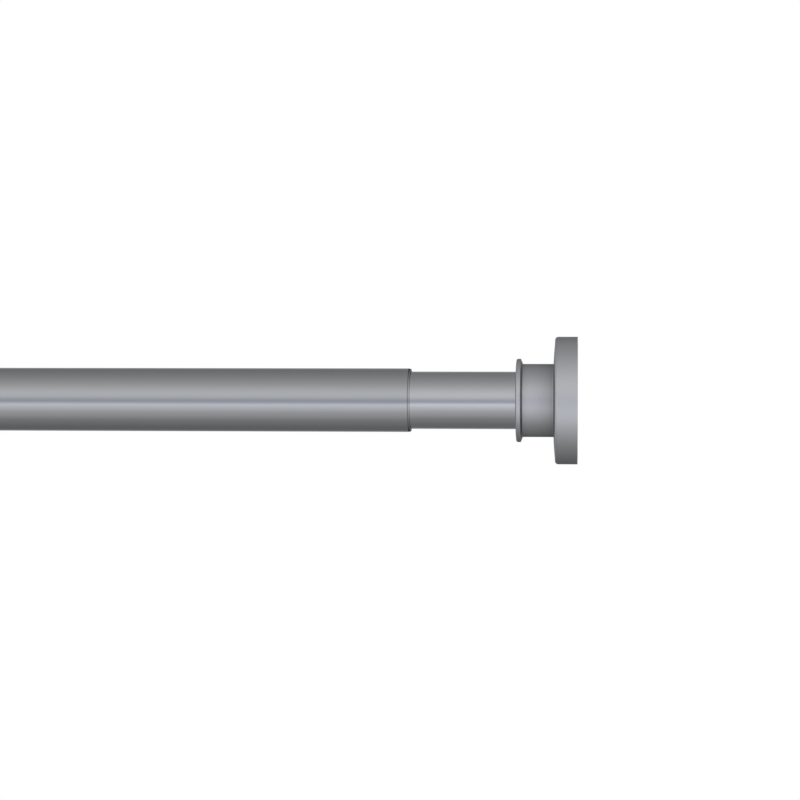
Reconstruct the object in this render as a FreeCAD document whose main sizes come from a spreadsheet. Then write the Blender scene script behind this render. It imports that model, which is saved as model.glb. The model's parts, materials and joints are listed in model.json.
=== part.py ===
import FreeCAD, Part
import math
import os
import re
import Sketcher

# Telescopic clamp rod for a shower curtain, lying along X, in millimetres. The left foot's wall face
# is at x = 0 with its centre at the origin. Both feet are alike, and each piece is drawn in a frame
# of its own: x runs along the rod's axis, from the wall for what belongs to a foot, and y is the
# distance from that axis.

V = FreeCAD.Vector
AS_DRAWN = FreeCAD.Rotation(V(0, 0, 1), 0)
TURNED_ROUND = FreeCAD.Rotation(V(0, 0, 1), 180)

doc = FreeCAD.newDocument("shower_curtain_rod")
home = {}


def full(text, sheet_name=None):
    """An expression with the name of its sheet put before each value of another sheet."""
    def owned(match):
        word = match.group()
        return f"{home[word]}.{word}" if home.get(word, sheet_name) != sheet_name else word
    return re.sub(r"[a-z_]+", owned, text)


def make_sheet(name, cells):
    """A spreadsheet with one row for each value: its alias in words, and its content."""
    sheet = doc.addObject("Spreadsheet::Sheet", name)
    for row, (alias, content) in enumerate(cells.items(), start=1):
        sheet.set(f"A{row}", alias.replace("_", " "))
        sheet.set(f"B{row}", full(str(content), name))
        sheet.setAlias(f"B{row}", alias)
        home[alias] = name
    doc.recompute()
    return sheet


# The sizes that are chosen one by one.
SIZES = {
    "outer_tube_radius": 14.0,  # wide tube, outside
    "outer_tube_wall": 0.6,  # wide tube, wall
    "outer_tube_length": 655.2,  # wide tube, cut length
    "inner_tube_radius": 12.6,  # narrow tube, outside
    "inner_tube_wall": 0.6,  # narrow tube, wall
    "inner_tube_length": 612.0,  # narrow tube, cut length
    "shown_length": 46.5,  # bare narrow tube between lip and collar
    "lock_gap": 40.0,  # at least this between the left plug and the cam screw
    "press_travel": 7.0,  # how far the right foot can be pressed in
    "fit_gap": 0.05,  # round what is pressed or glued in a tube
    "running_gap": 0.1,  # round what turns or slides
    "end_gap": 0.3,  # left at the end of a travel
    "weld": 0.3,  # how deep a rib or hook stands in its wall
    "disc_radius": 27.9,  # foot's disc
    "disc_edge": 9.8,  # wall to the edge of the disc's face
    "disc_top": 10.5,  # wall to the foot of the sleeve
    "disc_rounding": 1.5,  # rounding of the disc's edge
    "skirt_lift": 0.15,  # skirt kept off the wall
    "skirt_wall": 1.8,  # skirt round the disc
    "socket_floor": 10.0,  # wall to the floor of the socket
    "floor_thickness": 2.0,  # floor of the socket
    "sleeve_radius": 16.0,  # sleeve, outside
    "socket_radius": 14.9,  # sleeve, inside
    "socket_bevel": 0.4,  # bevel at the mouth of the socket
    "collar_radius": 18.25,  # collar at the sleeve's end
    "collar_back": 23.85,  # wall to where the collar starts
    "collar_slope": 0.85,  # conical back of the collar
    "collar_rim": 2.0,  # rim of the collar
    "collar_front": 26.95,  # wall to the collar's front
    "edge_bevel": 0.25,  # bevel of the small edges
    "hub_gap": 0.65,  # between the boss and the socket's floor
    "rib_ring_radius": 20.0,  # support ring under the disc, inside
    "rib_wall": 1.5,  # support ring and ribs under the disc
    "rib_height": 3.0,  # ribs under the disc
    "rib_count": 8,  # ribs under the disc
    "pad_thickness": 2.0,  # pad under the foot
    "pad_radius": 25.5,  # pad, outside
    "pad_hole": 7.0,  # pad, hole
    "pad_groove_pitch": 7.6,  # from one groove of the pad to the next
    "pad_groove_width": 1.6,  # grooves in the pad's wall face
    "pad_groove_depth": 0.7,  # grooves in the pad's wall face
    "plate_thickness": 2.2,  # wall plate
    "plate_gap": 0.5,  # between the wall plate and the skirt
    "plate_rib_radius": 18.0,  # outer end of the wall plate's ribs
    "plate_rib_wall": 1.4,  # wall plate's ribs
    "plate_rib_height": 3.0,  # wall plate's ribs
    "plate_rib_count": 6,  # wall plate's ribs
    "boss_radius": 5.75,  # boss on the wall plate
    "boss_top": 13.5,  # wall to the end of the boss
    "counterbore_radius": 5.1,  # counterbore in the boss
    "counterbore_depth": 4.0,  # counterbore in the boss
    "screw_hole_radius": 3.7,  # hole through the boss
    "hook_inside": 11.4,  # snap hook's stem, inner side
    "hook_wall": 1.4,  # snap hook's stem
    "hook_width": 4.3,  # snap hook
    "hook_nose": 0.85,  # reach of the hook's nose
    "hook_lip": 0.8,  # straight part of the hook's nose
    "window_inside": 11.2,  # window for the hook, inner side
    "window_outside": 13.9,  # window for the hook, outer side
    "window_width": 5.4,  # window for the hook
    "nose_bevel": 0.6,  # bevel on the end of a nose
    "plug_flange": 2.0,  # flange of an end plug
    "plug_depth": 20.0,  # plug inside its tube
    "plug_bevel": 0.6,  # bevel on a plug's inner end
    "plug_wall": 2.2,  # walls of the plugs
    "head_radius": 11.0,  # plunger's head
    "head_thickness": 3.0,  # plunger's head
    "spigot_radius": 6.0,  # spigots inside the spring
    "spigot_length": 9.0,  # spigots inside the spring
    "spring_plate_thickness": 1.2,  # steel plate under the spring
    "spring_length": 60.0,  # spring as assembled
    "spring_radius": 8.9,  # to the middle of the spring's wire
    "wire_radius": 1.0,  # spring's wire
    "wire_sides": 10,  # sides of the wire's section
    "open_turns": 7,  # spring's open turns
    "runs_per_turn": 12,  # straight runs in a turn of the spring
    "seat_depth": 10.0,  # spring's seat
    "bush_depth": 12.0,  # bush inside the wide tube's mouth
    "lip_radius": 13.9,  # bush's lip at the tube's end
    "lip_land": 0.2,  # straight part of the lip
    "lip_length": 0.55,  # bush's lip
    "lip_front_radius": 13.3,  # front edge of the lip
    "land_gap": 0.2,  # round the lock plug's land
    "land_length": 11.5,  # lock plug's land
    "ring_width": 4.6,  # guide ring
    "ring_wall": 1.35,  # guide ring
    "ring_play": 0.2,  # guide ring along its groove
    "ring_split": 8.0,  # gap in the guide ring, in degrees
    "cam_throw": 0.6,  # journal off the rod's axis
    "cam_clearance": 0.65,  # round the cam ring when it is free
    "cam_length": 12.0,  # cam ring
    "cam_play": 0.2,  # cam ring along its journal, each side
    "flute_count": 10,  # flutes round the cam ring
    "flute_radius": 1.0,  # flutes round the cam ring
    "flute_depth": 0.5,  # flutes round the cam ring
    "journal_radius": 6.0,  # journal that carries the cam ring
    "washer_radius": 8.5,  # cam washer
    "washer_thickness": 1.0,  # cam washer
    "screw_radius": 2.0,  # cam screw's shank
    "screw_length": 16.0,  # cam screw's shank
    "screw_head_radius": 3.9,  # cam screw's head
    "screw_head_height": 2.6,  # cam screw's head
    "recess_length": 4.4,  # cross recess in the head
    "recess_width": 0.9,  # cross recess in the head
    "recess_depth": 1.5,  # cross recess in the head
}

# The places and fitted sizes that follow from them.
PLACES = {
    "outer_bore": "=outer_tube_radius - outer_tube_wall",  # wide tube, inside
    "inner_bore": "=inner_tube_radius - inner_tube_wall",  # narrow tube, inside
    "skirt_bore": "=disc_radius - skirt_wall",  # skirt, inside
    "plate_front": "=pad_thickness + plate_thickness",  # wall to the wall plate's front
    "plate_radius": "=skirt_bore - plate_gap",  # wall plate
    "floor_back": "=socket_floor - floor_thickness",  # wall to the back of the socket's floor
    "counterbore_floor": "=boss_top - counterbore_depth",  # wall to the counterbore's floor
    "hook_seat": "=socket_floor + running_gap",  # wall to the underside of the hook's nose
    "nose_radius": "=counterbore_radius - running_gap",  # nose that turns in the counterbore
    "nose_end": "=counterbore_floor + running_gap",  # wall to the end of a nose
    "flange_radius": "=socket_radius - 2 * running_gap",  # flange of an end plug
    "pressed_flange": "=boss_top + end_gap",  # wall to a flange that is hard up
    "tube_start": "=pressed_flange + plug_flange",  # left wall to the wide tube
    "mouth": "=tube_start + outer_tube_length",  # left wall to the wide tube's mouth
    "resting_flange": "=pressed_flange + press_travel",  # right wall to the right plug's flange
    "inner_start": "=resting_flange + plug_flange",  # right wall to the narrow tube
    "plug_end": "=inner_start + plug_depth",  # right wall to the right plug's inner end
    "head_front": "=plug_end + running_gap",  # right wall to the plunger's head
    "head_back": "=head_front + head_thickness",  # right wall to the head's back
    "spring_start": "=head_back + spring_plate_thickness",  # right wall to the spring
    "seat_face": "=spring_start + spring_length",  # right wall to the spring's seat
    "insert_radius": "=inner_bore - fit_gap",  # what is pressed in the narrow tube
    "insert_bore": "=insert_radius - plug_wall",  # and its hollow
    "wide_insert_radius": "=outer_bore - fit_gap",  # what is pressed in the wide tube
    "wide_insert_bore": "=wide_insert_radius - plug_wall",  # and its hollow
    "sliding_bore": "=inner_tube_radius + running_gap",  # mouth bush, inside
    "land_radius": "=outer_bore - land_gap",  # lock plug's land
    "land_end": "=plug_depth + land_length",  # along the lock plug to the end of its land
    "ring_start": "=plug_depth + (land_length - ring_width) / 2",  # and to the guide ring
    "ring_end": "=ring_start + ring_width",  # and past it
    "ring_bore": "=outer_bore - fit_gap - ring_wall",  # guide ring, inside
    "cam_start": "=land_end + cam_play",  # along the lock plug to the cam ring
    "cam_radius": "=outer_bore - cam_clearance",  # cam ring
    "journal_length": "=cam_length + 2 * cam_play",  # journal
    "washer_start": "=land_end + journal_length",  # along the lock plug to the washer
    "head_start": "=washer_start + washer_thickness",  # and to the screw's head
    "lock_end": "=head_start + screw_head_height",  # and past the head
    "length_by_foot": "=mouth + lip_length + shown_length + collar_front",  # rod by what shows
    "lock_room": "=tube_start + plug_depth + lock_gap + lock_end",  # least left wall to lock plug
    "length_by_lock": "=lock_room - plug_depth + inner_tube_length + inner_start",  # rod by its lock
    "total_length": "=max(length_by_foot; length_by_lock)",  # wall to wall
    "inner_left": "=total_length - inner_start - inner_tube_length",  # left wall to the narrow tube
    "lock_start": "=inner_left + plug_depth",  # left wall to the lock plug's inner end
}

sizes = make_sheet("Sizes", SIZES)
places = make_sheet("Places", PLACES)


def value(text):
    """What an expression comes to, as a number."""
    return float(sizes.evalExpression(full(text)))


def new_body(label, at="0", rotation=AS_DRAWN):
    """An empty body whose own x axis lies on the rod's axis and starts at the place given."""
    body = doc.addObject("PartDesign::Body", label)
    body.Label = label
    body.Placement = FreeCAD.Placement(V(0, 0, 0), rotation)
    body.setExpression("Placement.Base.x", full(at))
    return body


def origin_feature(body, role):
    """One of the body's own origin planes or axes."""
    return next(feature for feature in body.Origin.OriginFeatures if feature.Role == role)


def new_sketch(body, name, plane, offset=None):
    """An empty sketch on an origin plane of its body, moved along the plane's normal if asked."""
    sketch = body.newObject("Sketcher::SketchObject", name)
    sketch.AttachmentSupport = [(origin_feature(body, plane), "")]
    sketch.MapMode = "FlatFace"
    if offset:
        sketch.setExpression("AttachmentOffset.Base.z", full(offset))
    return sketch


def pin(sketch, curve, spot, across, up):
    """Hold one point of a curve at the place that two expressions give."""
    for kind, axis, text in (("DistanceX", -2, across), ("DistanceY", -1, up)):
        if text == "0":
            sketch.addConstraint(Sketcher.Constraint("PointOnObject", curve, spot, axis))
        else:
            rule = sketch.addConstraint(Sketcher.Constraint(kind, -1, 1, curve, spot, value(text)))
            sketch.setExpression(f"Constraints[{rule}]", full(text))


def add_outline(sketch, corners):
    """A closed outline. A corner with a third entry starts an arc that bulges to the left by it."""
    spots = [V(value(corner[0]), value(corner[1]), 0) for corner in corners]
    ends = []
    for index, corner in enumerate(corners):
        start = spots[index]
        end = spots[(index + 1) % len(corners)]
        if len(corner) == 3:
            along = (end - start).normalize()
            middle = (start + end) * 0.5 + V(-along.y, along.x, 0) * value(corner[2])
            sketch.addGeometry(Part.Arc(start, middle, end), False)
        else:
            sketch.addGeometry(Part.LineSegment(start, end), False)
        kept_direction = sketch.getPoint(index, 1).isEqual(start, 1e-6)
        ends.append((1, 2) if kept_direction else (2, 1))
    for index, corner in enumerate(corners):
        following = (index + 1) % len(corners)
        meeting = (index, ends[index][1], following, ends[following][0])
        sketch.addConstraint(Sketcher.Constraint("Coincident", *meeting))
        pin(sketch, index, ends[index][0], corner[0], corner[1])
        if len(corner) == 3:
            across, up = corners[following][:2]
            chord_squared = f"((({across}) - ({corner[0]}))^2 + (({up}) - ({corner[1]}))^2)"
            radius = f"{chord_squared} / (8 * {corner[2]}) + {corner[2]} / 2"
            rule = sketch.addConstraint(Sketcher.Constraint("Radius", index, value(radius)))
            sketch.setExpression(f"Constraints[{rule}]", full(radius))


def add_box(sketch, left, right, width):
    """A rectangle from left to right, centred on the sketch's horizontal axis."""
    half = f"({width}) / 2"
    add_outline(sketch, ((left, f"-{half}"), (right, f"-{half}"), (right, half), (left, half)))


def add_circle(sketch, up, radius):
    """A circle with its centre on the sketch's vertical axis."""
    curve = sketch.addGeometry(Part.Circle(V(0, value(up), 0), V(0, 0, 1), value(radius)), False)
    pin(sketch, curve, 3, "0", up)
    rule = sketch.addConstraint(Sketcher.Constraint("Radius", curve, value(radius)))
    sketch.setExpression(f"Constraints[{rule}]", full(radius))


def turn(body, corners, angle="360"):
    """A solid turned about the body's x axis from an outline of (x, y) corners."""
    sketch = new_sketch(body, f"{body.Label}_section", "XY_Plane")
    add_outline(sketch, corners)
    turned = body.newObject("PartDesign::Revolution", f"{body.Label}_turned")
    turned.Profile = sketch
    turned.ReferenceAxis = (sketch, ["H_Axis"])
    turned.setExpression("Angle", full(angle))
    doc.recompute()
    return turned


def pad(body, sketch, length, both_ways=False):
    """Material added from a sketch along its normal, or half each way."""
    added = body.newObject("PartDesign::Pad", f"{sketch.Label}_pad")
    added.Profile = sketch
    added.setExpression("Length", full(length))
    added.Midplane = both_ways
    doc.recompute()
    return added


def pocket(body, sketch, depth):
    """Material cut from a sketch against its normal."""
    before = body.Shape.Volume
    cut = body.newObject("PartDesign::Pocket", f"{sketch.Label}_cut")
    cut.Profile = sketch
    cut.setExpression("Length", full(depth))
    doc.recompute()
    if not cut.Shape.Volume < before:
        raise ValueError(f"{cut.Label} cuts nothing")
    return cut


def repeat_round(body, feature, count):
    """A feature repeated evenly round the body's x axis."""
    pattern = body.newObject("PartDesign::PolarPattern", f"{feature.Label}_round")
    pattern.Originals = [feature]
    pattern.Axis = (origin_feature(body, "X_Axis"), [""])
    pattern.Angle = 360
    pattern.setExpression("Occurrences", full(count))
    body.Tip = pattern
    doc.recompute()
    return pattern


def make_cover(label, at, rotation):
    """The foot's shell: disc with skirt, sleeve and collar, ribbed underneath, in one moulding."""
    cover = new_body(label, at, rotation)
    turn(cover, (
        ("skirt_lift", "disc_radius"),
        ("disc_edge - disc_rounding", "disc_radius", "disc_rounding * (1 - cos(45))"),
        ("disc_edge", "disc_radius - disc_rounding"),
        ("disc_top", "sleeve_radius"),
        ("collar_back", "sleeve_radius"),
        ("collar_back + collar_slope", "collar_radius"),
        ("collar_back + collar_slope + collar_rim", "collar_radius"),
        ("collar_front", "socket_radius + socket_bevel"),
        ("collar_front - socket_bevel", "socket_radius"),
        ("socket_floor", "socket_radius"),
        ("socket_floor", "boss_radius + hub_gap"),
        ("floor_back", "boss_radius + hub_gap"),
        ("floor_back", "rib_ring_radius"),
        ("plate_front", "rib_ring_radius"),
        ("plate_front", "rib_ring_radius + rib_wall"),
        ("floor_back", "rib_ring_radius + rib_wall"),
        ("floor_back", "skirt_bore"),
        ("skirt_lift", "skirt_bore"),
    ))
    rib = new_sketch(cover, f"{label}_rib", "YZ_Plane", "floor_back - rib_height")
    add_box(rib, "rib_ring_radius + rib_wall - weld", "skirt_bore + weld", "rib_wall")
    repeat_round(cover, pad(cover, rib, "rib_height + weld"), "rib_count")
    window = new_sketch(cover, f"{label}_window", "YZ_Plane", "socket_floor + weld")
    add_box(window, "window_inside", "window_outside", "window_width")
    repeat_round(cover, pocket(cover, window, "floor_thickness + 2 * weld"), "2")
    return cover


def make_wall_plate(label, at, rotation):
    """The plate that bears on the pad: counterbored boss, ribs and two hooks for the shell."""
    plate = new_body(label, at, rotation)
    turn(plate, (
        ("pad_thickness", "screw_hole_radius"),
        ("pad_thickness", "plate_radius"),
        ("plate_front", "plate_radius"),
        ("plate_front", "boss_radius"),
        ("boss_top - edge_bevel", "boss_radius"),
        ("boss_top", "boss_radius - edge_bevel"),
        ("boss_top", "counterbore_radius"),
        ("counterbore_floor", "counterbore_radius"),
        ("counterbore_floor", "screw_hole_radius"),
    ))
    rib = new_sketch(plate, f"{label}_rib", "XZ_Plane")
    add_outline(rib, (
        ("plate_front - weld", "boss_radius - weld"),
        ("plate_front + plate_rib_height", "boss_radius - weld"),
        ("plate_front + plate_rib_height", "plate_rib_radius - plate_rib_height"),
        ("plate_front", "plate_rib_radius"),
        ("plate_front - weld", "plate_rib_radius"),
    ))
    repeat_round(plate, pad(plate, rib, "plate_rib_wall", both_ways=True), "plate_rib_count")
    hook = new_sketch(plate, f"{label}_hook", "XY_Plane")
    add_outline(hook, (
        ("plate_front - weld", "hook_inside"),
        ("plate_front - weld", "hook_inside + hook_wall"),
        ("boss_top", "hook_inside + hook_wall"),
        ("boss_top", "hook_inside"),
        ("hook_seat + hook_lip", "hook_inside - hook_nose"),
        ("hook_seat", "hook_inside - hook_nose"),
        ("hook_seat", "hook_inside"),
    ))
    repeat_round(plate, pad(plate, hook, "hook_width", both_ways=True), "2")
    return plate


def make_grip_pad(label, at, rotation):
    """The rubber ring between the wall plate and the wall, with round grooves in its wall face."""
    grip = new_body(label, at, rotation)
    corners = [("pad_thickness", "pad_hole"), ("0", "pad_hole")]
    count = int(value("(pad_radius - pad_hole) / pad_groove_pitch"))
    for index in range(1, count + 1):
        inside = f"pad_hole + {index} * pad_groove_pitch - pad_groove_width"
        outside = f"pad_hole + {index} * pad_groove_pitch"
        corners += [("0", inside), ("pad_groove_depth", inside)]
        corners += [("pad_groove_depth", outside), ("0", outside)]
    corners += [("0", "pad_radius"), ("pad_thickness", "pad_radius")]
    turn(grip, corners)
    return grip


def make_foot(side, at, rotation):
    """One whole foot."""
    return [
        make_cover(f"{side}_cover", at, rotation),
        make_wall_plate(f"{side}_wall_plate", at, rotation),
        make_grip_pad(f"{side}_grip_pad", at, rotation),
    ]


def make_tube(label, at, rotation, length, outside, inside):
    """A straight tube."""
    tube = new_body(label, at, rotation)
    turn(tube, (("0", inside), ("0", outside), (length, outside), (length, inside)))
    return tube


def make_left_end_plug():
    """The wide tube's plug: flange, hollow insert, and the nose that turns in the left boss."""
    plug = new_body("left_end_plug")
    turn(plug, (
        ("nose_end", "0"),
        ("nose_end", "nose_radius - nose_bevel"),
        ("nose_end + nose_bevel", "nose_radius"),
        ("pressed_flange", "nose_radius"),
        ("pressed_flange", "flange_radius"),
        ("tube_start", "flange_radius"),
        ("tube_start", "wide_insert_radius"),
        ("tube_start + plug_depth - plug_bevel", "wide_insert_radius"),
        ("tube_start + plug_depth", "wide_insert_radius - plug_bevel"),
        ("tube_start + plug_depth", "wide_insert_bore"),
        ("tube_start", "wide_insert_bore"),
        ("tube_start", "0"),
    ))
    return plug


def make_mouth_bush():
    """The sliding bush in the wide tube's mouth, with the bevelled lip that covers the tube's edge."""
    bush = new_body("mouth_bush", "mouth - bush_depth")
    turn(bush, (
        ("0", "sliding_bore"),
        ("0", "wide_insert_radius"),
        ("bush_depth", "wide_insert_radius"),
        ("bush_depth", "lip_radius"),
        ("bush_depth + lip_land", "lip_radius"),
        ("bush_depth + lip_length", "lip_front_radius"),
        ("bush_depth + lip_length", "sliding_bore"),
    ))
    return bush


def make_guide_ring():
    """The split ring that rubs in the wide tube."""
    ring = new_body("guide_ring", "lock_start", TURNED_ROUND)
    turn(ring, (
        ("ring_start", "ring_bore"),
        ("ring_start", "ring_bore + ring_wall"),
        ("ring_end", "ring_bore + ring_wall"),
        ("ring_end", "ring_bore"),
    ), "360 - ring_split")
    return ring


def make_lock_plug():
    """The narrow tube's inner plug: hollow insert, grooved land and the journal off the axis."""
    plug = new_body("lock_plug", "lock_start", TURNED_ROUND)
    turn(plug, (
        ("0", "insert_bore"),
        ("0", "insert_radius - plug_bevel"),
        ("plug_bevel", "insert_radius"),
        ("plug_depth", "insert_radius"),
        ("plug_depth", "land_radius"),
        ("ring_start - ring_play", "land_radius"),
        ("ring_start - ring_play", "ring_bore - running_gap"),
        ("ring_end + ring_play", "ring_bore - running_gap"),
        ("ring_end + ring_play", "land_radius"),
        ("land_end", "land_radius"),
        ("land_end", "0"),
        ("plug_depth", "0"),
        ("plug_depth", "insert_bore"),
    ))
    journal = new_sketch(plug, "lock_plug_journal", "YZ_Plane", "land_end - weld")
    add_circle(journal, "cam_throw", "journal_radius")
    pad(plug, journal, "journal_length + weld")
    hole = new_sketch(plug, "lock_plug_hole", "YZ_Plane", "washer_start")
    add_circle(hole, "cam_throw", "screw_radius + fit_gap")
    pocket(plug, hole, "screw_length")
    return plug


def make_cam_ring():
    """The fluted ring whose bore is as far off its middle as the journal is off the rod's axis."""
    cam = new_body("cam_ring", "lock_start", TURNED_ROUND)
    section = new_sketch(cam, "cam_ring_section", "YZ_Plane", "cam_start")
    add_circle(section, "0", "cam_radius")
    add_circle(section, "cam_throw", "journal_radius + running_gap")
    pad(cam, section, "cam_length")
    flute = new_sketch(cam, "cam_ring_flute", "YZ_Plane", "cam_start + cam_length")
    add_circle(flute, "cam_radius + flute_radius - flute_depth", "flute_radius")
    repeat_round(cam, pocket(cam, flute, "cam_length"), "flute_count")
    return cam


def make_cam_washer():
    """The washer that keeps the cam ring on its journal."""
    washer = new_body("cam_washer", "lock_start", TURNED_ROUND)
    washer.setExpression("Placement.Base.z", full("cam_throw"))
    turn(washer, (
        ("washer_start", "screw_radius + fit_gap"),
        ("washer_start", "washer_radius"),
        ("head_start", "washer_radius"),
        ("head_start", "screw_radius + fit_gap"),
    ))
    return washer


def make_cam_screw():
    """The screw through the washer into the journal, with a bevelled head and a cross recess."""
    screw = new_body("cam_screw", "lock_start", TURNED_ROUND)
    screw.setExpression("Placement.Base.z", full("cam_throw"))
    shaft_end = "head_start - screw_length + washer_thickness"
    turn(screw, (
        (shaft_end, "0"),
        (shaft_end, "screw_radius - edge_bevel"),
        (f"{shaft_end} + 2 * edge_bevel", "screw_radius"),
        ("head_start", "screw_radius"),
        ("head_start", "screw_head_radius"),
        ("head_start + screw_head_height / 2", "screw_head_radius"),
        ("head_start + screw_head_height", "screw_head_radius / 2"),
        ("head_start + screw_head_height", "0"),
    ))
    recess = new_sketch(screw, "cam_screw_recess", "YZ_Plane", "head_start + screw_head_height")
    add_box(recess, "0", "recess_length / 2", "recess_width")
    repeat_round(screw, pocket(screw, recess, "recess_depth"), "4")
    return screw


def make_right_end_plug():
    """The narrow tube's plug: flange, insert, and the long bore that guides the plunger."""
    plug = new_body("right_end_plug", "total_length", TURNED_ROUND)
    guide_radius = "nose_radius + running_gap + plug_wall"
    turn(plug, (
        ("resting_flange", "nose_radius + running_gap"),
        ("resting_flange", "flange_radius"),
        ("inner_start", "flange_radius"),
        ("inner_start", "insert_radius"),
        ("plug_end - plug_bevel", "insert_radius"),
        ("plug_end", "insert_radius - plug_bevel"),
        ("plug_end", "insert_bore"),
        ("inner_start", "insert_bore"),
        ("inner_start", guide_radius),
        ("plug_end", guide_radius),
        ("plug_end", "nose_radius + running_gap"),
    ))
    return plug


def make_plunger():
    """The plunger: nose and shaft in one, the head that the spring drives, and a spigot."""
    plunger = new_body("plunger", "total_length", TURNED_ROUND)
    turn(plunger, (
        ("nose_end", "0"),
        ("nose_end", "nose_radius - nose_bevel"),
        ("nose_end + nose_bevel", "nose_radius"),
        ("head_front", "nose_radius"),
        ("head_front", "head_radius"),
        ("head_back", "head_radius"),
        ("head_back", "spigot_radius"),
        ("head_back + spigot_length - nose_bevel", "spigot_radius"),
        ("head_back + spigot_length", "spigot_radius - nose_bevel"),
        ("head_back + spigot_length", "0"),
    ))
    return plunger


def make_spring_plate():
    """The steel washer that keeps the spring's end out of the plunger's head."""
    plate = new_body("spring_plate", "total_length", TURNED_ROUND)
    turn(plate, (
        ("head_back", "spigot_radius + running_gap"),
        ("head_back", "head_radius"),
        ("spring_start", "head_radius"),
        ("spring_start", "spigot_radius + running_gap"),
    ))
    return plate


def make_spring_seat():
    """The cup that the spring pushes on, fixed in the narrow tube."""
    seat = new_body("spring_seat", "total_length", TURNED_ROUND)
    turn(seat, (
        ("seat_face - spigot_length", "0"),
        ("seat_face - spigot_length", "spigot_radius - nose_bevel"),
        ("seat_face - spigot_length + nose_bevel", "spigot_radius"),
        ("seat_face", "spigot_radius"),
        ("seat_face", "insert_radius"),
        ("seat_face + seat_depth", "insert_radius"),
        ("seat_face + seat_depth", "insert_bore"),
        ("seat_face + plug_wall", "insert_bore"),
        ("seat_face + plug_wall", "0"),
    ))
    return seat


def make_clamp_spring():
    """A coil spring with closed end turns, its wire bent in short straight runs round the coil."""
    wire = value("wire_radius")
    radius = value("spring_radius")
    turns = int(value("open_turns"))
    closed_pitch = 2 * wire + value("fit_gap")
    open_pitch = (value("spring_length") - 2 * wire - 2 * closed_pitch) / turns
    runs_per_turn = int(value("runs_per_turn"))
    points = []
    for step in range((turns + 2) * runs_per_turn + 1):
        turn_now = step / runs_per_turn
        opened = min(max(turn_now - 1, 0), turns)
        along = value("spring_start") + wire + opened * open_pitch + (turn_now - opened) * closed_pitch
        angle = 2 * math.pi * turn_now
        points.append(V(along, radius * math.cos(angle), radius * math.sin(angle)))
    path = Part.makePolygon(points)
    sides = int(value("wire_sides"))
    section = Part.makePolygon([
        V(wire * math.cos(2 * math.pi * side / sides), wire * math.sin(2 * math.pi * side / sides), 0)
        for side in range(sides + 1)
    ])
    section.Placement = FreeCAD.Placement(points[0], FreeCAD.Rotation(V(0, 0, 1), points[1] - points[0]))
    right_corners = 1
    spring = doc.addObject("Part::Feature", "clamp_spring")
    spring.Label = "clamp_spring"
    spring.Shape = path.makePipeShell([section], True, False, right_corners)
    spring.Placement = FreeCAD.Placement(V(value("total_length"), 0, 0), TURNED_ROUND)
    return spring


def check_document():
    """Every object has to be computed without an error before anything is written."""
    doc.recompute()
    for item in doc.Objects:
        if "Invalid" in item.State or "Error" in item.State:
            raise ValueError(f"{item.Label} failed: {item.State}")


def write(pieces):
    """One STEP file for each piece, named after it."""
    check_document()
    for piece in pieces:
        if piece.Shape.isNull() or not piece.Shape.isValid() or len(piece.Shape.Solids) != 1:
            raise ValueError(f"{piece.Label} isn't one valid solid")
    os.makedirs("parts", exist_ok=True)
    for piece in pieces:
        piece.Shape.exportStep(f"parts/{piece.Label}.step")
        box = piece.Shape.BoundBox
        print(f"{piece.Label}: {piece.Shape.Volume / 1000:.2f} cm3, x {box.XMin:.2f} to {box.XMax:.2f}")


def main():
    left_foot = make_foot("left", "0", AS_DRAWN)
    wide_end = [
        make_tube("outer_tube", "tube_start", AS_DRAWN, "outer_tube_length",
                  "outer_tube_radius", "outer_bore"),
        make_left_end_plug(),
        make_mouth_bush(),
    ]
    lock = [
        make_guide_ring(),
        make_lock_plug(),
        make_cam_ring(),
        make_cam_washer(),
        make_cam_screw(),
    ]
    narrow_end = [
        make_tube("inner_tube", "total_length - inner_start", TURNED_ROUND, "inner_tube_length",
                  "inner_tube_radius", "inner_bore"),
        make_right_end_plug(),
        make_plunger(),
        make_spring_plate(),
        make_clamp_spring(),
        make_spring_seat(),
    ]
    right_foot = make_foot("right", "total_length", TURNED_ROUND)
    write(left_foot + wide_end + lock + narrow_end + right_foot)


main()
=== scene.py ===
import json
import math

import bmesh
import bpy
from mathutils import Matrix, Vector

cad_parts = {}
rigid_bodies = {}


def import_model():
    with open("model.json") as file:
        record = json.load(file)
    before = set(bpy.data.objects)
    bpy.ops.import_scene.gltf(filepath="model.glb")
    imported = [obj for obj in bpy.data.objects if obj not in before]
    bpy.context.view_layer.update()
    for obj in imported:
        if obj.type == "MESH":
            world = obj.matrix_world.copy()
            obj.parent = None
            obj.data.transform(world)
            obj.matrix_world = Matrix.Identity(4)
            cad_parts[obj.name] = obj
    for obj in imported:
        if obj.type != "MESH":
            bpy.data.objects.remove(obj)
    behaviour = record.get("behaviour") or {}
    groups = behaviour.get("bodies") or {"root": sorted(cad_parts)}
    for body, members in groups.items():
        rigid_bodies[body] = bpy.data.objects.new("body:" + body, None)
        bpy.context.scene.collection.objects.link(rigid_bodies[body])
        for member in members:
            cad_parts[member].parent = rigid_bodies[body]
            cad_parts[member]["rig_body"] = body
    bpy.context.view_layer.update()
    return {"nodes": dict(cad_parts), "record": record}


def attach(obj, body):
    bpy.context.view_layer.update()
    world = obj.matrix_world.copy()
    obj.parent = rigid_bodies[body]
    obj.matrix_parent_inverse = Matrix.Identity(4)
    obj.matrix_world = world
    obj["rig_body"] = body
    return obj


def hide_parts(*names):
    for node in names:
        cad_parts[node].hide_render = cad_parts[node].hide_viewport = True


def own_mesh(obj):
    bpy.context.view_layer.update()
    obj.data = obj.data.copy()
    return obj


# Telescopic clamp rod for a shower curtain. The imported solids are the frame, and the pieces made
# here stand for them with smooth round skins, fine roundings and their own materials. Everything is
# in metres. Turned pieces are drawn as (along, out) corners: along the rod's axis, and out from it.

MM = 0.001
TURN = 2 * math.pi

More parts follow.
